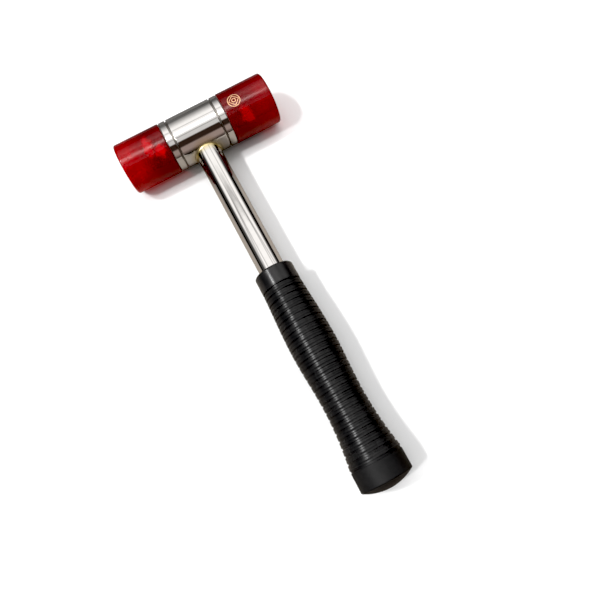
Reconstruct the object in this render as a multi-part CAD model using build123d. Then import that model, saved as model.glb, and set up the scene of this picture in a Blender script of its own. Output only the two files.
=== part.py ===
from build123d import *
import os
from math import sqrt

# Dead blow mallet with a plated steel head, screw-on plastic striking faces,
# a steel tube handle and a ribbed rubber grip.
#
# Frame: the mallet lies on its side on a bench. +Z is up, the head's axis is along X and
# the handle runs towards -Y. The origin is under the middle of the whole mallet.
# Sizes are in millimetres.

# ---- head -----------------------------------------------------------------------------
BODY_RADIUS = 16.0              # barrel and end collars
BARREL_HALF = 14.7              # half the length of the barrel
BARREL_EDGE = 0.6               # rounding of the barrel's ends
CHAMBER_RADIUS = 11.0           # bore that holds the shot
GROOVE_WIDTH = 0.8              # groove between barrel and collar
GROOVE_RADIUS = 15.0
COLLAR_LENGTH = 4.2
COLLAR_EDGE = 0.4
SPIGOT_LENGTH = 4.0             # part of the end cap inside the barrel's bore
SPIGOT_EDGE = 0.4
DISC_THICKNESS = 1.2            # fibre disc between the shot and the spigot
DISC_GAP = 0.15                 # around the disc, in the bore

# ---- striking faces and what holds them -----------------------------------------------
WASHER_THICKNESS = 0.5
WASHER_RADIUS = 15.4
WASHER_BORE_RADIUS = 6.5
FACE_RADIUS = 16.2
FACE_LENGTH = 30.4
FACE_INNER_EDGE = 0.4
FACE_OUTER_EDGE = 1.3
THREAD_PITCH = 2.0
THREAD_MEAN_RADIUS = 5.55       # round thread: a circle of this radius winds about the axis
THREAD_DEPTH = 0.9
THREAD_CLEARANCE = 0.12         # radial, between stud and face
STUD_OUT = 12.8                 # thread that stands out of the end cap
STUD_TIP_RADIUS = 4.9
STUD_TIP_CHAMFER = 1.2
SHANK_RADIUS = 5.0              # plain end pressed into the end cap
SHANK_DEPTH = 7.5
TAPPED_DEPTH = 15.5
DRILL_RADIUS = 5.1
DRILLED_DEPTH = 17.5
MOUTH_RADIUS = 6.9              # countersink at the mouth of the tapped hole
MOUTH_DEPTH = 1.0

# ---- steel shot -----------------------------------------------------------------------
SHOT_RADIUS = 2.0
SHOT_SPACING = 4.05
SHOT_LAYERS = 3
SHOT_COLUMNS = 9                # most balls that a row can hold
SHOT_WALL_GAP = 0.1
SHOT_FILL_LEVEL = 3.0           # highest ball centre above the head's axis

# ---- handle ---------------------------------------------------------------------------
TUBE_RADIUS = 7.95
TUBE_WALL = 1.5
SOCKET_FLOOR = 12.3             # from the head's axis to the end of the tube
BRAZE_RADIUS = 1.6              # fillet of brass where the tube enters the head
TUBE_END = 226.0                # from the head's axis to the tube's lower end
PLUG_LENGTH = 10.0
PLUG_FLANGE = 1.5

# ---- grip: distances along the handle are measured from the head's axis -----------------
GRIP_TOP = 104.5
GRIP_TOP_EDGE = 1.2
RIB_COUNT = 26
RIB_PITCH = 4.165
FIRST_GROOVE = 116.3
RIB_GROOVE_WIDTH = 1.0
RIB_GROOVE_DEPTH = 0.5
RIB_EDGE = 0.35
CREASE_HALF_WIDTH = 0.42        # shallow crease round the middle of each rib
CREASE_DEPTH = 0.15
CREASE_EDGE = 1.6
NECK_RADIUS = 12.0              # smooth collar at the top of the grip
BELLY_AT, BELLY_RADIUS = 154.0, 13.6
WAIST_AT, WAIST_RADIUS = 189.0, 12.25
FLARE_AT, BUTT_RADIUS = 223.5, 15.3
BUTT_CORNER = 236.6
BUTT_EDGE = 0.9
BUTT_DOME = 4.2                 # height of the domed end

# ---- places that follow from the sizes above --------------------------------------------
COLLAR_START = BARREL_HALF + GROOVE_WIDTH
COLLAR_END = COLLAR_START + COLLAR_LENGTH
SPIGOT_END = BARREL_HALF - SPIGOT_LENGTH
CHAMBER_HALF = SPIGOT_END - DISC_THICKNESS
FACE_START = COLLAR_END + WASHER_THICKNESS
FACE_END = FACE_START + FACE_LENGTH
BUTT_END = BUTT_CORNER + BUTT_DOME
HEAD_Y = (BUTT_END - FACE_RADIUS) / 2
HEAD_Z = FACE_RADIUS


def turned(points, radii):
    """A solid turned about Z from corners (radius, height), each rounded by its radius."""
    outline = FilletPolyline(*points, radius=radii, close=True)
    return revolve(Plane.XZ * make_face(outline), Axis.Z)


def cylinder(radius, low, high):
    """A cylinder about Z between two heights."""
    return Pos(0, 0, low) * extrude(Circle(radius), high - low)


def thread(radius, low, high):
    """A right-hand round thread about Z, in step with every other one that starts at low."""
    length = high - low
    section = Pos(THREAD_DEPTH / 2, 0, low) * Circle(radius)
    path = Edge.make_line((0, 0, low), (0, 0, high))
    guide = Pos(0, 0, low) * Edge.make_helix(THREAD_PITCH, length, 2 * radius)
    return sweep(section.face(), path=path, binormal=Wire([guide]))


def on_head(side, piece):
    """Turn a piece made about +Z so that it points out of the head's right or left end."""
    angle = 90 if side == "right" else -90
    return Pos(0, HEAD_Y, HEAD_Z) * Rot(0, angle, 0) * piece


def on_handle(piece):
    """Turn a piece made about +Z, with heights measured from the head's axis, on to the handle."""
    return Pos(0, HEAD_Y, HEAD_Z) * Rot(90, 0, 0) * piece


def head_barrel():
    """Tube across the head, with a blind socket in its side for the handle."""
    wall = [
        (CHAMBER_RADIUS, -BARREL_HALF),
        (BODY_RADIUS, -BARREL_HALF),
        (BODY_RADIUS, BARREL_HALF),
        (CHAMBER_RADIUS, BARREL_HALF),
    ]
    barrel = on_head("right", turned(wall, [0, BARREL_EDGE, BARREL_EDGE, 0]))
    return barrel - on_handle(cylinder(TUBE_RADIUS, SOCKET_FLOOR, 2 * BODY_RADIUS))


def end_cap():
    """Collar with a spigot that closes the shot chamber, and a hole for the stud."""
    outline = [
        (0, SPIGOT_END),
        (CHAMBER_RADIUS, SPIGOT_END),
        (CHAMBER_RADIUS, BARREL_HALF),
        (GROOVE_RADIUS, BARREL_HALF),
        (GROOVE_RADIUS, COLLAR_START),
        (BODY_RADIUS, COLLAR_START),
        (BODY_RADIUS, COLLAR_END),
        (0, COLLAR_END),
    ]
    cap = turned(outline, [0, SPIGOT_EDGE, 0, 0, 0, COLLAR_EDGE, COLLAR_EDGE, 0])
    return cap - cylinder(SHANK_RADIUS, COLLAR_END - SHANK_DEPTH, COLLAR_END)


def chamber_disc():
    """Fibre disc that the shot strikes instead of the end cap."""
    return cylinder(CHAMBER_RADIUS - DISC_GAP, CHAMBER_HALF, SPIGOT_END)


def face_stud():
    """Stud with a plain pressed-in shank and a round-threaded end."""
    tip = COLLAR_END + STUD_OUT
    full = THREAD_MEAN_RADIUS + THREAD_DEPTH
    envelope = [
        (0, COLLAR_END),
        (full, COLLAR_END),
        (full, tip - STUD_TIP_CHAMFER),
        (STUD_TIP_RADIUS, tip),
        (0, tip),
    ]
    threaded = thread(THREAD_MEAN_RADIUS, COLLAR_END, tip) & turned(envelope, [0] * len(envelope))
    return threaded + cylinder(SHANK_RADIUS, COLLAR_END - SHANK_DEPTH, COLLAR_END)


def friction_washer():
    """Thin washer round the stud, between the collar and the striking face."""
    ring = cylinder(WASHER_RADIUS, COLLAR_END, FACE_START)
    return ring - cylinder(WASHER_BORE_RADIUS, COLLAR_END, FACE_START)


def striking_face():
    """Plastic face with a blind tapped hole."""
    outline = [(0, FACE_START), (FACE_RADIUS, FACE_START), (FACE_RADIUS, FACE_END), (0, FACE_END)]
    face = turned(outline, [0, FACE_INNER_EDGE, FACE_OUTER_EDGE, 0])
    drill_point = DRILL_RADIUS / sqrt(3)
    hole = [
        (0, FACE_START),
        (MOUTH_RADIUS, FACE_START),
        (DRILL_RADIUS, FACE_START + MOUTH_DEPTH),
        (DRILL_RADIUS, FACE_START + DRILLED_DEPTH - drill_point),
        (0, FACE_START + DRILLED_DEPTH),
    ]
    tapped = thread(THREAD_MEAN_RADIUS + THREAD_CLEARANCE, COLLAR_END, FACE_START + TAPPED_DEPTH)
    return face - tapped - turned(hole, [0] * len(hole))


def steel_shot():
    """Loose steel balls lying in the lower part of the chamber, in rows along the head."""
    reach = CHAMBER_RADIUS - SHOT_RADIUS - SHOT_WALL_GAP
    row_height = SHOT_SPACING * sqrt(3) / 2
    balls = []
    row = 0
    height = -reach
    while height <= SHOT_FILL_LEVEL:
        half_row = sqrt(reach**2 - height**2)
        shift = 0 if row % 2 == 0 else SHOT_SPACING / 2
        for column in range(SHOT_COLUMNS):
            across = (column - SHOT_COLUMNS // 2) * SHOT_SPACING + shift
            if abs(across) > half_row:
                continue
            for layer in range(SHOT_LAYERS):
                along = (layer - (SHOT_LAYERS - 1) / 2) * SHOT_SPACING
                centre = Pos(along, HEAD_Y + across, HEAD_Z + height)
                balls.append(centre * Sphere(SHOT_RADIUS))
        row += 1
        height += row_height
    return Compound(children=balls)


def handle_tube():
    """Steel tube from the head's socket to the bottom of the grip."""
    tube = cylinder(TUBE_RADIUS, SOCKET_FLOOR, TUBE_END)
    return on_handle(tube - cylinder(TUBE_RADIUS - TUBE_WALL, SOCKET_FLOOR, TUBE_END))


def braze_fillet():
    """Fillet of brass in the corner between the barrel and the tube."""
    barrel = on_head("right", cylinder(BODY_RADIUS, -BARREL_HALF, BARREL_HALF))
    tube = on_handle(cylinder(TUBE_RADIUS, SOCKET_FLOOR, BODY_RADIUS + 3 * BRAZE_RADIUS))
    joined = barrel + tube
    corner = joined.edges().filter_by(GeomType.BSPLINE).sort_by(SortBy.LENGTH)[-1]
    return fillet(corner, BRAZE_RADIUS) - barrel - tube


def tube_end_plug():
    """Plug with a flange that closes the tube's lower end."""
    inside = TUBE_RADIUS - TUBE_WALL
    flange_end = TUBE_END + PLUG_FLANGE
    outline = [
        (0, TUBE_END - PLUG_LENGTH),
        (inside, TUBE_END - PLUG_LENGTH),
        (inside, TUBE_END),
        (TUBE_RADIUS, TUBE_END),
        (TUBE_RADIUS, flange_end),
        (0, flange_end),
    ]
    return on_handle(turned(outline, [0, SPIGOT_EDGE, 0, 0, 0, 0]))


def ease(t, start_slope, end_slope):
    """Cubic from 0 to 1 over t from 0 to 1, with the given slopes at its ends."""
    rise = t * t * (3 - 2 * t)
    return rise + start_slope * t * (1 - t) ** 2 - end_slope * t * t * (1 - t)


def grip_radius(distance):
    """Outer radius of the grip over its ribs: collar, belly, waist, then a flare to the butt."""
    spans = [
        (GRIP_TOP, NECK_RADIUS, 0, 0),
        (FIRST_GROOVE, NECK_RADIUS, 1, 0),
        (BELLY_AT, BELLY_RADIUS, 0, 0),
        (WAIST_AT, WAIST_RADIUS, 0, 2),
        (FLARE_AT, BUTT_RADIUS, 0, 0),
        (BUTT_CORNER, BUTT_RADIUS, 0, 0),
    ]
    for (low, radius, start, end), (high, next_radius, _, _) in zip(spans, spans[1:]):
        if distance <= high:
            t = (distance - low) / (high - low)
            return radius + (next_radius - radius) * ease(t, start, end)
    return BUTT_RADIUS


def grip_sleeve():
    """One-piece moulded grip: smooth collar, ribs, and a smooth butt with a domed end."""
    corners = [(TUBE_RADIUS, GRIP_TOP), (NECK_RADIUS, GRIP_TOP)]
    radii = [0, GRIP_TOP_EDGE]
    for groove in range(RIB_COUNT + 1):
        middle = FIRST_GROOVE + groove * RIB_PITCH
        above = middle - RIB_GROOVE_WIDTH / 2
        below = middle + RIB_GROOVE_WIDTH / 2
        floor = grip_radius(middle) - RIB_GROOVE_DEPTH
        corners += [(grip_radius(above), above), (floor, above)]
        corners += [(floor, below), (grip_radius(below), below)]
        radii += [RIB_EDGE, 0, 0, RIB_EDGE]
        if groove < RIB_COUNT:
            crest = middle + RIB_PITCH / 2
            start = crest - CREASE_HALF_WIDTH
            end = crest + CREASE_HALF_WIDTH
            crease = (grip_radius(crest) - CREASE_DEPTH, crest)
            corners += [(grip_radius(start), start), crease, (grip_radius(end), end)]
            radii += [CREASE_EDGE, 0, CREASE_EDGE]
    bottom = TUBE_END + PLUG_FLANGE
    corners += [(BUTT_RADIUS, BUTT_CORNER), (0, BUTT_CORNER), (0, bottom), (TUBE_RADIUS, bottom)]
    radii += [0, 0, 0, 0]
    sleeve = turned(corners, radii)
    dome_radius = (BUTT_RADIUS**2 + BUTT_DOME**2) / (2 * BUTT_DOME)
    ball = Pos(0, 0, BUTT_END - dome_radius) * Sphere(dome_radius)
    sleeve += ball & cylinder(BUTT_RADIUS, BUTT_CORNER, BUTT_END)
    circles = sleeve.edges().filter_by(GeomType.CIRCLE)
    at_corner = circles.filter_by_position(Axis.Z, BUTT_CORNER, BUTT_CORNER)
    return on_handle(fillet(at_corner.sort_by(SortBy.RADIUS)[-1], BUTT_EDGE))


def build():
    """Every node of the mallet, by name."""
    nodes = {
        "head_barrel": head_barrel(),
        "steel_shot": steel_shot(),
        "handle_tube": handle_tube(),
        "braze_fillet": braze_fillet(),
        "tube_end_plug": tube_end_plug(),
        "grip_sleeve": grip_sleeve(),
    }
    end_pieces = {
        "end_cap": end_cap(),
        "chamber_disc": chamber_disc(),
        "face_stud": face_stud(),
        "friction_washer": friction_washer(),
        "striking_face": striking_face(),
    }
    for side in ("left", "right"):
        for name, piece in end_pieces.items():
            nodes[f"{name}_{side}"] = on_head(side, piece)
    return nodes


os.makedirs("parts", exist_ok=True)
for node, solid in build().items():
    export_step(solid, f"parts/{node}.step")
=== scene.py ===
import math

import bpy
from mathutils import Matrix, Vector


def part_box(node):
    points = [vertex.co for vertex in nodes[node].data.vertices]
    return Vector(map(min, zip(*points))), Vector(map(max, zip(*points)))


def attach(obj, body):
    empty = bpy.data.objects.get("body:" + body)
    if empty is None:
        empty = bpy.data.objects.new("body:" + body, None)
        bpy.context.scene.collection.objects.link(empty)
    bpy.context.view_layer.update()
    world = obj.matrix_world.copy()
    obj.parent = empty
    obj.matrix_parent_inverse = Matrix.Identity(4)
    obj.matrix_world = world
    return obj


# Looks of the dead blow mallet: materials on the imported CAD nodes, a small foil mark on one
# face, the floor, the studio light and the camera. All lengths are in metres.
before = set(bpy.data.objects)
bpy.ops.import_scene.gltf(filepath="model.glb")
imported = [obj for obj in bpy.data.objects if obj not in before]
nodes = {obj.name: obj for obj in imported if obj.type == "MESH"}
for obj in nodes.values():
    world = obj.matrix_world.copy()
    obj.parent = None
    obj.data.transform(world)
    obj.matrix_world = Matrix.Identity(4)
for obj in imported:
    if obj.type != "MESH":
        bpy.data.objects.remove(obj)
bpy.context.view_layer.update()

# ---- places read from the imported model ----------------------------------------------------
face_low, face_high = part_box("striking_face_right")
FACE_RADIUS = (face_high.y - face_low.y) / 2
HEAD = Vector((0, (face_low.y + face_high.y) / 2, (face_low.z + face_high.z) / 2))
tube_low, tube_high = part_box("handle_tube")
TUBE_RADIUS = (tube_high.x - tube_low.x) / 2
barrel_low, barrel_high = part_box("head_barrel")
BARREL_RADIUS = (barrel_high.z - barrel_low.z) / 2
GROOVE_WIDTH = 0.0008
GROOVE_X = barrel_high.x + GROOVE_WIDTH / 2
grip_low, grip_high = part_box("grip_sleeve")

# ---- camera -------------------------------------------------------------------------------
CAMERA_PLACE = HEAD + Vector((-0.01305, -0.21799, 0.33099))
CAMERA_TARGET = HEAD + Vector((0.0056, -0.1274, 0))
IMAGE_UP = Vector((0.46836, 0.84515, 0.25759))
LENS_MM = 35.836

# ---- light --------------------------------------------------------------------------------
# Two compact lamps high on the left: where each shines from, and its irradiance.
LAMPS = {
    "lamp_far": (Vector((-0.60, 0.28, 1)), 1.3),
    "lamp_near": (Vector((-0.60, 0.0, 1)), 1.1),
}
LAMP_ANGLE = math.radians(5)
FLOOR_HALF = 3.0
FLOOR_ALBEDO = 0.85
# What mirrors see of the floor, with painted shade: before the head, then darker behind it, changing
# over this distance.
FLOOR_MIRRORED = (0.38, 0.34, 0.30)
FLOOR_MIRRORED_BEHIND = (0.17, 0.165, 0.16)
FLOOR_MIRRORED_CHANGE = 0.03
SOFT_LIGHT_GAIN = 1.2
BLACK_LEVEL = 0.03

# The light box, in degrees from straight overhead. Along Y, positive is towards -Y, where the
# camera is; along X, positive is towards +X. Each sheet crosses the whole box: where
# it starts, how soft that edge is, where it ends, how soft that edge is, and its radiance.
SHEETS = {
    "far_wall": (-100, 5, -65, 8, 0.15),
    "back_sheet": (-57, 18, 4, 4, 1.5),
    "front_sheet": (4, 4, 28, 2, 0.9),
    "near_card": (54, 3, 82, 8, 0.4),
}
BOX_RADIANCE = 0.09
# Thin joints cross the sheets: their places, half width and how much they darken.
JOINTS_ACROSS = (-27.5, 9)
JOINTS_ALONG = (-22, 28)
JOINT_HALF_ACROSS = 3
JOINT_HALF_ALONG = 6
JOINT_SHADE_ACROSS = 0.5
JOINT_SHADE_ALONG = 0.5
# The box's sides: where the sheets end along X, how soft that is, and the share left beyond.
BOX_SIDES = (-50, 60)
BOX_SIDE_SOFT = 8
BOX_SIDE_SHARE = 0.1
# The sheets are nearly white and the near side is brownish, from this angle on.
SHEET_TINT = (1.0, 0.98, 0.96)
NEAR_TINT = (1.0, 0.78, 0.70)
NEAR_FROM = 29
# A lamp-lit oval on the back sheet: its place and half widths along X and Y, and its radiance.
OVAL_AT = (0, -9)
OVAL_HALF = (18, 8)
OVAL_RADIANCE = 4.0

# ---- finishes -----------------------------------------------------------------------------
# Colours are linear red, green and blue. A pair of distances says where a fade starts and
# where it ends, measured outwards from the barrel's or the tube's surface.
CHROME = (0.62, 0.61, 0.60)
CHROME_SMUDGED = (0.58, 0.57, 0.56)
# Painted shade: the plate's darker colour at the bottom of the turned grooves beside the barrel.
CHROME_GROOVE_SHADE = (0.27, 0.255, 0.235)
CHROME_WASHED = (0.58, 0.50, 0.29)
# Fine turned rings: noise scales across and along them, and their height beside the ripple.
RING_SCALE = 9000.0
ALONG_RING_SCALE = 60.0
RING_HEIGHT = 0.08
# The grooves: roughness added, then where their painted shade is full and where it is gone below the
# barrel's surface, and how far it reaches past each groove's sides.
GROOVE_DULL_ROUGHNESS = 0.3
GROOVE_SHADE_FADE = (-0.0007, -0.0002)
GROOVE_SHADE_EDGE = 0.0002
# Brass wash: its strength and fade along the tube, then on the barrel round the tube.
TUBE_WASH = 0.9
TUBE_WASH_FADE = (0.0010, 0.0042)
BARREL_WASH = 0.55
BARREL_WASH_FADE = (0.0012, 0.0045)
# How far from the head's axis, towards the handle, the wash on the barrel begins.
BARREL_WASH_SIDE = (0.006, 0.009)
# Plate dulled by the heat of brazing: roughness added, and its fades.
HEAT_ROUGHNESS = 0.13
HEAT_FADE_FROM_TUBE = (0.0005, 0.007)
HEAT_FADE_FROM_BARREL = (0.0002, 0.0020)

BRAZE_BRIGHT = (0.66, 0.56, 0.30)
BRAZE_DEEP = (0.56, 0.45, 0.22)
BRAZE_DULL = (0.40, 0.36, 0.26)
BRAZE_DULL_ROUGHNESS = 0.25
BRAZE_DULL_RISE = (0.0002, 0.0009)

# The red plastic seen through, with painted light: painted shade near the collar, then brighter
# further out on each face, the left face brighter than the right.
RED_INNER = (0.31, 0.0004, 0.004)
RED_OUTER_LEFT = (0.74, 0.0012, 0.008)
RED_OUTER_RIGHT = (0.48, 0.001, 0.008)
# Where the left colour turns into the right one, along the head from its middle, and how far
# from the middle the outer colours begin and are full.
RED_LEFT_TO_RIGHT = (-0.01, 0.01)
RED_OUTER_RISE = (0.031, 0.043)
# Painted shade on the side away from the handle: its colour, share and rise from the head's axis.
RED_FAR_SIDE_SHADE = (0.02, 0.0001, 0.0005)
RED_FAR_SIDE_SHARE = 0.45
RED_FAR_SIDE_RISE = (-0.003, 0.010)
# In the painted glow patches, seen in mirrors, in the clear part, and staining shadows and depth.
RED_PAINTED_GLOW = (0.98, 0.0015, 0.010)
RED_IN_MIRRORS = (0.07, 0.005, 0.014)
RED_CLEAR = (0.98, 0.06, 0.08, 1)
RED_SHADOW = (0.25, 0.02, 0.03, 1)
RED_DEPTH = (0.985, 0.0, 0.0, 1)
RED_DEPTH_DENSITY = 400.0
RED_ROUGHNESS = (0.09, 0.14)
RED_MILKY_SHARE = (0.36, 0.50)
PLASTIC_IOR = 1.49
# Painted glow, bright patches in the red plastic's colour where light catches the stud inside:
# middle from the head's centre, half lengths, strength.
PAINTED_GLOWS = [
    ((-0.0315, -0.0025, 0.0160), (0.0036, 0.0082, 0.005), 0.85),
    ((-0.0255, -0.0078, 0.0141), (0.0036, 0.0040, 0.005), 1.0),
    ((0.0315, -0.0113, 0.0112), (0.0042, 0.0055, 0.007), 0.75),
]
# Where a patch's edge starts and ends, as shares of its half lengths, and how far it wanders.
GLOW_EDGE = (0.6, 1.1)
GLOW_WANDER = 0.006
GLOW_WANDER_SCALE = 260.0

RUBBER = (0.019, 0.019, 0.0195)
RUBBER_GREY = (0.0245, 0.0242, 0.0245)
RUBBER_BUTT_ROUGHNESS = 0.3
# The butt ends between these heights above the grip's low end, and the collar starts between
# these depths below its high end.
RUBBER_BUTT_END = (0.015, 0.018)
RUBBER_COLLAR_START = (0.0108, 0.0098)

# The foil mark: its middle along the head, how far it is turned from the top towards the
# handle, and how far its edges are sunk in the face and stand proud of it.
FOIL_X = 0.0279
FOIL_ANGLE = math.radians(4)
FOIL_SUNK = 0.00003
FOIL_PROUD = 0.00004
# Each band's corners, points per side, radius and line width: a ring, a lozenge, a small ring.
FOIL_BANDS = [
    (40, 1, 0.0041, 0.00045),
    (4, 8, 0.0035, 0.00055),
    (24, 1, 0.0014, 0.00045),
]


class Shader:
    """Adds linked nodes to one node tree."""

    def __init__(self, tree):
        self.tree = tree
        tree.nodes.clear()

    def add(self, kind, inputs=(), **settings):
        node = self.tree.nodes.new("ShaderNode" + kind)
        for name, value in settings.items():
            setattr(node, name, value)
        for name, value in dict(inputs).items():
            if isinstance(value, bpy.types.NodeSocket):
                self.tree.links.new(value, node.inputs[name])
            else:
                node.inputs[name].default_value = value
        return node

    def math(self, operation, *values):
        return self.add("Math", dict(enumerate(values)), operation=operation).outputs[0]

    def vector(self, operation, a, b):
        return self.add("VectorMath", {0: a, 1: b}, operation=operation).outputs[0]

    def length(self, vector):
        return self.add("VectorMath", {0: vector}, operation="LENGTH").outputs["Value"]

    def part(self, vector, axis):
        """One of a vector's X, Y and Z."""
        return self.add("SeparateXYZ", {0: vector}).outputs[axis]

    def fit(self, value, low, high, new_low, new_high):
        """value between low and high, moved to between new_low and new_high."""
        inputs = {1: low, 2: high, 3: new_low, 4: new_high, 0: value}
        return self.add("MapRange", inputs).outputs[0]

    def rise(self, value, start, end):
        """Nothing up to start, and one from end on."""
        return self.fit(value, start, end, 0, 1)

    def fade(self, value, start, end):
        """One up to start, and nothing from end on."""
        return self.fit(value, start, end, 1, 0)

    def noise(self, coordinates, scale, detail=3.0, roughness=0.5):
        inputs = {"Vector": coordinates, "Scale": scale, "Detail": detail, "Roughness": roughness}
        return self.add("TexNoise", inputs).outputs[0]

    def spread(self, noise, low, high):
        """A noise, which lies mostly between 0.3 and 0.7, moved to between low and high."""
        return self.fit(noise, 0.3, 0.7, low, high)

    def mottled(self, noise, colour, other, high=0.65):
        """One colour where the noise is low, turning to the other where it is high."""
        return self.mix(self.rise(noise, 0.35, high), colour, other)

    def place(self):
        """The point being shaded, in the object's own metres."""
        return self.add("TexCoord").outputs["Object"]

    def stretched(self, coordinates, factors):
        return self.vector("MULTIPLY", coordinates, factors)

    def mix(self, factor, a, b):
        """Colour a where the factor is nothing, and colour b where it is one."""
        node = self.tree.nodes.new("ShaderNodeMix")
        node.data_type = "RGBA"
        kinds = {"Factor": "VALUE", "A": "RGBA", "B": "RGBA"}
        for name, value in {"Factor": factor, "A": a, "B": b}.items():
            socket = next(s for s in node.inputs if (s.name, s.type) == (name, kinds[name]))
            if isinstance(value, bpy.types.NodeSocket):
                self.tree.links.new(value, socket)
            elif name == "Factor":
                socket.default_value = value
            else:
                socket.default_value = (*value, 1)
        return next(s for s in node.outputs if s.type == "RGBA")

    def bump(self, height, distance):
        return self.add("Bump", {"Height": height, "Distance": distance, "Strength": 1.0}).outputs[0]

    def finish(self, surface, volume=None):
        kind = "OutputWorld" if isinstance(self.tree.id_data, bpy.types.World) else "OutputMaterial"
        inputs = {"Surface": surface} if volume is None else {"Surface": surface, "Volume": volume}
        self.add(kind, inputs)


def new_material(name):
    material = bpy.data.materials.new(name)
    material.use_nodes = True
    return material, Shader(material.node_tree)


# ---- distances on the object --------------------------------------------------------------
def from_head_axis(s, place):
    """Distance of a point from the head's axis."""
    return s.length(s.stretched(s.vector("SUBTRACT", place, tuple(HEAD)), (0, 1, 1)))


def from_handle_axis(s, place):
    """Distance of a point from the handle's axis."""
    return s.length(s.stretched(s.vector("SUBTRACT", place, tuple(HEAD)), (1, 0, 1)))


def near_barrel(s, place, start, end):
    """One up to the distance start out from the barrel's surface, and nothing from end on."""
    return s.fade(from_head_axis(s, place), BARREL_RADIUS + start, BARREL_RADIUS + end)


def near_tube(s, place, start, end):
    """One up to the distance start out from the tube's surface, and nothing from end on."""
    return s.fade(from_handle_axis(s, place), TUBE_RADIUS + start, TUBE_RADIUS + end)


# ---- materials ----------------------------------------------------------------------------
def chrome(name, turned_axis, wash, groove_shade_and_dull=None):
    """Bright nickel-chrome plate over turned steel, with faint rings about turned_axis.

    wash(shader, place) gives the share of brass-tinted plate at a point, and
    groove_shade_and_dull(shader, place) the share of plate darkened with painted shade and made
    dull.
    """
    material, s = new_material(name)
    place = s.place()
    ring_scales = [ALONG_RING_SCALE] * 3
    ring_scales["XYZ".index(turned_axis)] = RING_SCALE
    rings = s.noise(s.stretched(place, ring_scales), scale=1.0, detail=2.0)
    smudge = s.noise(place, scale=95.0, detail=4.0, roughness=0.6)
    ripple = s.noise(place, scale=260.0, detail=1.0)
    smudge_roughness = s.fit(smudge, 0.3, 0.75, 0.02, 0.06)
    roughness = s.math("ADD", smudge_roughness, s.spread(rings, 0, 0.015))
    colour = s.mottled(smudge, CHROME, CHROME_SMUDGED, high=0.7)
    colour = s.mix(wash(s, place), colour, CHROME_WASHED)
    heated = s.math("MULTIPLY", near_tube(s, place, *HEAT_FADE_FROM_TUBE), HEAT_ROUGHNESS)
    heated = s.math("MULTIPLY", heated, near_barrel(s, place, *HEAT_FADE_FROM_BARREL))
    roughness = s.math("ADD", roughness, heated)
    if groove_shade_and_dull:
        # Painted shade in the grooves: a darker colour, with real dullness added to the roughness.
        shaded_and_dull = groove_shade_and_dull(s, place)
        colour = s.mix(shaded_and_dull, colour, CHROME_GROOVE_SHADE)
        roughness = s.math("ADD", roughness, s.math("MULTIPLY", shaded_and_dull, GROOVE_DULL_ROUGHNESS))
    height = s.math("ADD", s.math("MULTIPLY", rings, RING_HEIGHT), ripple)
    surface = s.add("BsdfPrincipled", {
        "Base Color": colour,
        "Metallic": 1.0,
        "Roughness": roughness,
        "Normal": s.bump(height, distance=0.000008),
    })
    s.finish(surface.outputs[0])
    return material


def wash_on_tube(s, place):
    """Brass wash on the last few millimetres of the tube before the head."""
    return s.math("MULTIPLY", near_barrel(s, place, *TUBE_WASH_FADE), TUBE_WASH)


def wash_on_head(s, place):
    """Faint brass wash on the barrel round the handle, and only on that side."""
    near = s.math("MULTIPLY", near_tube(s, place, *BARREL_WASH_FADE), BARREL_WASH)
    start, end = BARREL_WASH_SIDE
    side = s.fade(s.part(place, "Y"), HEAD.y - end, HEAD.y - start)
    return s.math("MULTIPLY", near, side)


def painted_shade_in_groove(s, place):
    """Painted shade: darker, dull plate at the bottom of the two turned grooves beside the barrel.
    """
    along = s.math("ABSOLUTE", s.part(place, "X"))
    off = s.math("ABSOLUTE", s.math("SUBTRACT", along, GROOVE_X))
    inside = s.fade(off, GROOVE_WIDTH / 2, GROOVE_WIDTH / 2 + GROOVE_SHADE_EDGE)
    return s.math("MULTIPLY", near_barrel(s, place, *GROOVE_SHADE_FADE), inside)


def braze():
    """Brass, bright beside the tube and dull olive where it feathers out on the barrel."""
    material, s = new_material("brass_braze_metal")
    place = s.place()
    cloud = s.noise(place, scale=700.0, detail=4.0, roughness=0.6)
    tooth = s.noise(place, scale=3000.0, detail=2.0)
    start, end = BRAZE_DULL_RISE
    dull = s.rise(from_handle_axis(s, place), TUBE_RADIUS + start, TUBE_RADIUS + end)
    bright = s.mix(cloud, BRAZE_BRIGHT, BRAZE_DEEP)
    dull_roughness = s.math("MULTIPLY", dull, BRAZE_DULL_ROUGHNESS)
    surface = s.add("BsdfPrincipled", {
        "Base Color": s.mix(dull, bright, BRAZE_DULL),
        "Metallic": 1.0,
        "Roughness": s.math("ADD", s.spread(cloud, 0.28, 0.36), dull_roughness),
        "Normal": s.bump(tooth, distance=0.00002),
    })
    s.finish(surface.outputs[0])
    return material


def glow(s, place, middle, half):
    """One at the middle of a soft-edged oval with these half lengths, and nothing outside it."""
    off = s.vector("SUBTRACT", place, tuple(HEAD + Vector(middle)))
    return s.fade(s.length(s.vector("DIVIDE", off, half)), *GLOW_EDGE)


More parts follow.
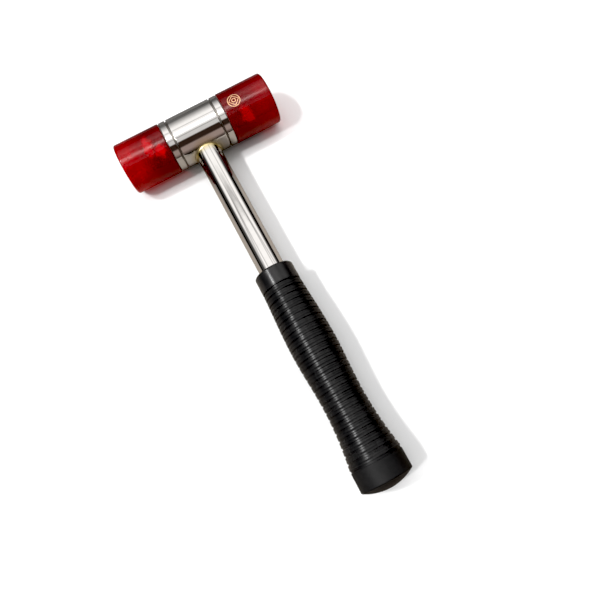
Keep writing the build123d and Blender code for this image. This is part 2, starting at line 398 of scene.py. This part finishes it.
def red_painted_light_colour(s, place):
    """The milky part's colour, with painted light: painted shade deep near the collar and on the
    side away from the handle, brighter further out and on the left face, and painted glow in
    patches.
    """
    along = s.part(place, "X")
    # Painted light: the outer colour is brighter on the left face than on the right.
    right = s.rise(along, *RED_LEFT_TO_RIGHT)
    outer = s.mix(right, RED_OUTER_LEFT, RED_OUTER_RIGHT)
    outward = s.rise(s.math("ABSOLUTE", along), *RED_OUTER_RISE)
    # Painted shade: a deeper red near the collar, brighter further out.
    colour = s.mix(outward, RED_INNER, outer)
    # Painted shade on the side away from the handle.
    start, end = RED_FAR_SIDE_RISE
    far = s.fit(s.part(place, "Y"), HEAD.y + start, HEAD.y + end, 0, RED_FAR_SIDE_SHARE)
    colour = s.mix(far, colour, RED_FAR_SIDE_SHADE)
    wander = s.add("TexNoise", {"Vector": place, "Scale": GLOW_WANDER_SCALE}).outputs["Color"]
    jitter = s.stretched(s.vector("SUBTRACT", wander, (0.5, 0.5, 0.5)), (GLOW_WANDER,) * 3)
    shifted = s.vector("ADD", place, jitter)
    # Painted glow: bright patches mixed into the milky colour.
    for middle, half, strength in PAINTED_GLOWS:
        share = s.math("MULTIPLY", glow(s, shifted, middle, half), strength)
        colour = s.mix(share, colour, RED_PAINTED_GLOW)
    return colour


def red_plastic():
    """Cloudy translucent red plastic: part clear and tinted in depth, part milky.

    Mirrors see the milky part alone, darker, and shadows are stained rather than black.
    """
    material, s = new_material("cloudy_red_plastic")
    place = s.place()
    cloud = s.noise(place, scale=170.0, detail=3.0, roughness=0.6)
    swirl = s.noise(s.stretched(place, (0.6, 1, 1)), scale=900.0, detail=2.0)
    glossy = s.add("LightPath").outputs["Is Glossy Ray"]
    shared = {
        "Roughness": s.spread(swirl, *RED_ROUGHNESS),
        "IOR": PLASTIC_IOR,
        "Normal": s.bump(swirl, distance=0.000005),
    }
    clear = s.add("BsdfPrincipled", {
        "Base Color": RED_CLEAR,
        "Transmission Weight": 1.0,
        **shared,
    })
    # The milky part carries the painted shade and painted glow patches in its colour.
    milky = s.add("BsdfPrincipled", {
        "Base Color": s.mix(glossy, red_painted_light_colour(s, place), RED_IN_MIRRORS),
        **shared,
    })
    share = s.math("MAXIMUM", s.spread(cloud, *RED_MILKY_SHARE), glossy)
    surface = s.add("MixShader", {0: share, 1: clear.outputs[0], 2: milky.outputs[0]})
    stained = s.add("BsdfTransparent", {"Color": RED_SHADOW})
    shadow_ray = s.add("LightPath").outputs["Is Shadow Ray"]
    surface = s.add("MixShader", {0: shadow_ray, 1: surface.outputs[0], 2: stained.outputs[0]})
    depth = s.add("VolumeAbsorption", {"Color": RED_DEPTH, "Density": RED_DEPTH_DENSITY})
    s.finish(surface.outputs[0], depth.outputs[0])
    return material


def rubber():
    """Black moulded rubber: a shiny collar, satin ribs and a matt butt."""
    material, s = new_material("moulded_black_rubber")
    place = s.place()
    along = s.part(place, "Y")
    grain = s.bump(s.noise(place, scale=4200.0, detail=3.0, roughness=0.6), distance=0.000012)
    cloud = s.noise(place, scale=110.0, detail=4.0, roughness=0.6)
    colour = s.mottled(cloud, RUBBER, RUBBER_GREY, high=0.7)
    start, end = RUBBER_BUTT_END
    butt = s.fit(along, grip_low.y + start, grip_low.y + end, RUBBER_BUTT_ROUGHNESS, 0)
    satin = s.add("BsdfPrincipled", {
        "Base Color": colour,
        "Roughness": s.math("ADD", s.spread(cloud, 0.245, 0.285), butt),
        "Specular IOR Level": 0.16,
        "Normal": grain,
    })
    shiny = s.add("BsdfPrincipled", {
        "Base Color": colour,
        "Roughness": s.spread(cloud, 0.19, 0.23),
        "Specular IOR Level": 0.34,
        "Normal": grain,
    })
    start, end = RUBBER_COLLAR_START
    collar = s.rise(along, grip_high.y - start, grip_high.y - end)
    surface = s.add("MixShader", {0: collar, 1: satin.outputs[0], 2: shiny.outputs[0]})
    s.finish(surface.outputs[0])
    return material


def metal(name, colour, other, rough_low, rough_high, scale):
    """A plain turned or cast metal with uneven colour and a fine tooth."""
    material, s = new_material(name)
    place = s.place()
    cloud = s.noise(place, scale, detail=4.0, roughness=0.6)
    tooth = s.noise(place, 5 * scale, detail=3.0)
    surface = s.add("BsdfPrincipled", {
        "Base Color": s.mottled(cloud, colour, other),
        "Metallic": 1.0,
        "Roughness": s.spread(cloud, rough_low, rough_high),
        "Normal": s.bump(tooth, distance=0.00003),
    })
    s.finish(surface.outputs[0])
    return material


def matt(name, colour, other, roughness, scale):
    """A matt fibre or plastic with mottled colour and a fine grain."""
    material, s = new_material(name)
    place = s.place()
    cloud = s.noise(place, scale, detail=4.0, roughness=0.65)
    grain = s.noise(place, 6 * scale, detail=2.0)
    surface = s.add("BsdfPrincipled", {
        "Base Color": s.mottled(cloud, colour, other),
        "Roughness": s.spread(grain, roughness - 0.07, roughness + 0.07),
        "Normal": s.bump(grain, distance=0.00003),
    })
    s.finish(surface.outputs[0])
    return material


def gold_foil():
    """Thin stamped gold foil, a little worn."""
    material, s = new_material("stamped_gold_foil")
    worn = s.noise(s.place(), scale=1500.0, detail=3.0, roughness=0.6)
    surface = s.add("BsdfPrincipled", {
        "Base Color": s.mottled(worn, (0.80, 0.50, 0.30), (0.62, 0.36, 0.20)),
        "Metallic": 0.6,
        "Roughness": s.spread(worn, 0.35, 0.5),
    })
    s.finish(surface.outputs[0])
    return material


head_chrome = chrome("chrome_plate_turned", "X", wash_on_head, painted_shade_in_groove)
tube_chrome = chrome("chrome_plate_drawn", "Y", wash_on_tube)
red = red_plastic()
black_rubber = rubber()
brass = braze()
zinc = metal("zinc_plated_steel", (0.60, 0.60, 0.58), (0.50, 0.51, 0.52), 0.22, 0.36, 400.0)
shot = metal("plain_steel_shot", (0.42, 0.41, 0.40), (0.34, 0.33, 0.33), 0.25, 0.4, 500.0)
fibre = matt("red_brown_fibre", (0.20, 0.055, 0.035), (0.13, 0.035, 0.025), 0.7, 900.0)
washer_fibre = matt("dark_fibre_washer", (0.10, 0.055, 0.05), (0.15, 0.08, 0.07), 0.6, 900.0)
plug_black = matt("black_plug_plastic", (0.018, 0.018, 0.019), (0.03, 0.03, 0.031), 0.5, 600.0)

finishes = {
    "head_barrel": head_chrome,
    "end_cap": head_chrome,
    "handle_tube": tube_chrome,
    "striking_face": red,
    "grip_sleeve": black_rubber,
    "braze_fillet": brass,
    "face_stud": zinc,
    "steel_shot": shot,
    "chamber_disc": fibre,
    "friction_washer": washer_fibre,
    "tube_end_plug": plug_black,
}
for name, node in nodes.items():
    for slot in node.material_slots:
        slot.material = finishes[name.removesuffix("_left").removesuffix("_right")]


# ---- foil mark on the right-hand face -----------------------------------------------------
def on_face(along, around, height):
    """A point this far along the head and round it from the mark's middle, and off the face."""
    angle = FOIL_ANGLE + around / FACE_RADIUS
    radius = FACE_RADIUS + height
    return HEAD + Vector((FOIL_X + along, -radius * math.sin(angle), radius * math.cos(angle)))


def foil_band(outer, inner):
    """Vertices and faces of one closed flat band between two matching outlines on the face."""
    verts = []
    for far, near in zip(outer, inner):
        verts.append(on_face(*far, -FOIL_SUNK))
        verts.append(on_face(*far, FOIL_PROUD))
        verts.append(on_face(*near, FOIL_PROUD))
        verts.append(on_face(*near, -FOIL_SUNK))
    faces = []
    for i in range(len(outer)):
        here, there = 4 * i, 4 * ((i + 1) % len(outer))
        for k in range(4):
            faces.append((here + k, here + (k + 1) % 4, there + (k + 1) % 4, there + k))
    return verts, faces


def outline(corners, per_side, radius):
    """Points round a regular figure: many corners make a ring and four make a lozenge."""
    points = []
    for i in range(corners):
        a = 2 * math.pi * i / corners
        b = 2 * math.pi * (i + 1) / corners
        for k in range(per_side):
            t = k / per_side
            points.append((
                radius * ((1 - t) * math.cos(a) + t * math.cos(b)),
                radius * ((1 - t) * math.sin(a) + t * math.sin(b)),
            ))
    return points


def make_foil_mark():
    """A generic ornament: a ring, a lozenge inside it and a small ring in the middle."""
    verts, faces = [], []
    for corners, per_side, radius, width in FOIL_BANDS:
        outer = outline(corners, per_side, radius)
        inner = outline(corners, per_side, radius - width)
        band_verts, band_faces = foil_band(outer, inner)
        faces += [tuple(index + len(verts) for index in face) for face in band_faces]
        verts += band_verts
    mesh = bpy.data.meshes.new("foil_mark")
    mesh.from_pydata(verts, [], faces)
    mesh.materials.append(gold_foil())
    mark = bpy.data.objects.new("foil_mark", mesh)
    bpy.context.scene.collection.objects.link(mark)
    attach(mark, "right_face")


make_foil_mark()


# ---- floor --------------------------------------------------------------------------------
def floor_material():
    """White paper. Mirrors see it darker and warmer, as if the lit bench ended nearby."""
    material, s = new_material("white_paper_floor")
    place = s.place()
    mottle = s.spread(s.noise(place, scale=40.0), 0.99, 1.0)
    mottle = s.add("CombineXYZ", {0: mottle, 1: mottle, 2: mottle}).outputs[0]
    # Painted shade in reflections: the floor seen by mirrors is darker behind the head.
    behind = s.rise(s.part(place, "Y"), HEAD.y, HEAD.y + FLOOR_MIRRORED_CHANGE)
    mirrored = s.mix(behind, FLOOR_MIRRORED, FLOOR_MIRRORED_BEHIND)
    glossy = s.add("LightPath").outputs["Is Glossy Ray"]
    colour = s.vector("MULTIPLY", s.mix(glossy, (FLOOR_ALBEDO,) * 3, mirrored), mottle)
    s.finish(s.add("BsdfDiffuse", {"Color": colour}).outputs[0])
    return material


def make_floor():
    mesh = bpy.data.meshes.new("paper_floor")
    signs = ((-1, -1), (1, -1), (1, 1), (-1, 1))
    corners = [(x * FLOOR_HALF, y * FLOOR_HALF, 0) for x, y in signs]
    mesh.from_pydata(corners, [], [(0, 1, 2, 3)])
    mesh.materials.append(floor_material())
    floor = bpy.data.objects.new("paper_floor", mesh)
    bpy.context.scene.collection.objects.link(floor)


make_floor()


# ---- studio -------------------------------------------------------------------------------
def strip(s, angle, start, start_soft, end, end_soft):
    """One between two soft edges, given in degrees, and nothing outside them."""
    rise = s.rise(angle, math.radians(start - start_soft), math.radians(start + start_soft))
    fall = s.fade(angle, math.radians(end - end_soft), math.radians(end + end_soft))
    return s.math("MULTIPLY", rise, fall)


def darken_at_joints(s, value, angle, joints, half, shade):
    """The value, darkened along thin joints at these angles in degrees."""
    for joint in joints:
        off = s.math("ABSOLUTE", s.math("SUBTRACT", angle, math.radians(joint)))
        kept = s.fit(off, 0, math.radians(half), 1 - shade, 1)
        value = s.math("MULTIPLY", value, kept)
    return value


def box_sheets(s, across, along):
    """The box's radiance by angle: its sheets, their joints and its dimmer sides."""
    radiance = BOX_RADIANCE
    for start, start_soft, end, end_soft, sheet_radiance in SHEETS.values():
        band = strip(s, across, start, start_soft, end, end_soft)
        radiance = s.math("ADD", radiance, s.math("MULTIPLY", band, sheet_radiance))
    for angle, joints, half, shade in (
        (across, JOINTS_ACROSS, JOINT_HALF_ACROSS, JOINT_SHADE_ACROSS),
        (along, JOINTS_ALONG, JOINT_HALF_ALONG, JOINT_SHADE_ALONG),
    ):
        radiance = darken_at_joints(s, radiance, angle, joints, half, shade)
    inside = strip(s, along, BOX_SIDES[0], BOX_SIDE_SOFT, BOX_SIDES[1], BOX_SIDE_SOFT)
    return s.math("MULTIPLY", radiance, s.fit(inside, 0, 1, BOX_SIDE_SHARE, 1))


def lamp_lit_oval(s, across, along):
    """The oval's radiance, brightest in its middle and nothing at its edge."""
    squares = []
    for angle, middle, half in zip((along, across), OVAL_AT, OVAL_HALF):
        off = s.math("SUBTRACT", angle, math.radians(middle))
        off = s.math("DIVIDE", off, math.radians(half))
        squares.append(s.math("MULTIPLY", off, off))
    bulge = s.math("SUBTRACT", 1.0, s.math("ADD", *squares))
    return s.math("MULTIPLY", s.math("MAXIMUM", bulge, 0.0), OVAL_RADIANCE)


def make_studio():
    """A light box of a few soft sheets with thin joints, and plain white for the camera."""
    world = bpy.data.worlds.new("studio")
    world.use_nodes = True
    bpy.context.scene.world = world
    s = Shader(world.node_tree)
    direction = s.add("TexCoord").outputs["Generated"]
    # Below the horizon the angles stay at about 90 degrees.
    height = s.math("MAXIMUM", s.part(direction, "Z"), 0.0001)
    across = s.math("ARCTAN2", s.math("MULTIPLY", s.part(direction, "Y"), -1.0), height)
    along = s.math("ARCTAN2", s.part(direction, "X"), height)
    studio = s.math("ADD", box_sheets(s, across, along), lamp_lit_oval(s, across, along))

    path = s.add("LightPath").outputs
    camera, diffuse = path["Is Camera Ray"], path["Is Diffuse Ray"]
    seen = s.math("MULTIPLY", studio, s.fit(diffuse, 0, 1, 1, SOFT_LIGHT_GAIN))
    up_to_white = s.math("MULTIPLY", camera, s.math("SUBTRACT", 1.0, seen))
    near = s.rise(across, math.radians(NEAR_FROM - 1), math.radians(NEAR_FROM + 1))
    tint = s.mix(near, SHEET_TINT, NEAR_TINT)
    tint = s.mix(s.math("MAXIMUM", camera, diffuse), tint, (1, 1, 1))
    strength = s.math("ADD", seen, up_to_white)
    s.finish(s.add("Background", {"Color": tint, "Strength": strength}).outputs[0])


def make_lamp(name, shines_from, irradiance):
    """A compact lamp far away, which throws a fairly crisp shadow."""
    lamp = bpy.data.lights.new(name, "SUN")
    lamp.angle = LAMP_ANGLE
    lamp.energy = irradiance
    placed = bpy.data.objects.new(name, lamp)
    placed.rotation_mode = "QUATERNION"
    placed.rotation_quaternion = shines_from.to_track_quat("Z", "Y")
    bpy.context.scene.collection.objects.link(placed)


make_studio()
for name, (shines_from, irradiance) in LAMPS.items():
    make_lamp(name, shines_from, irradiance)


def make_camera():
    """The camera looks down at the bench, with the handle running to the lower right."""
    data = bpy.data.cameras.new("camera")
    data.lens = LENS_MM
    data.clip_start = 0.01
    camera = bpy.data.objects.new("camera", data)
    back = (CAMERA_PLACE - CAMERA_TARGET).normalized()
    right = IMAGE_UP.cross(back).normalized()
    up = back.cross(right)
    axes = Matrix((right, up, back)).transposed().to_4x4()
    camera.matrix_world = Matrix.Translation(CAMERA_PLACE) @ axes
    bpy.context.scene.collection.objects.link(camera)
    bpy.context.scene.camera = camera


make_camera()
look = bpy.context.scene.view_settings
look.view_transform = "Standard"
look.use_curve_mapping = True
look.curve_mapping.black_level = (BLACK_LEVEL,) * 3
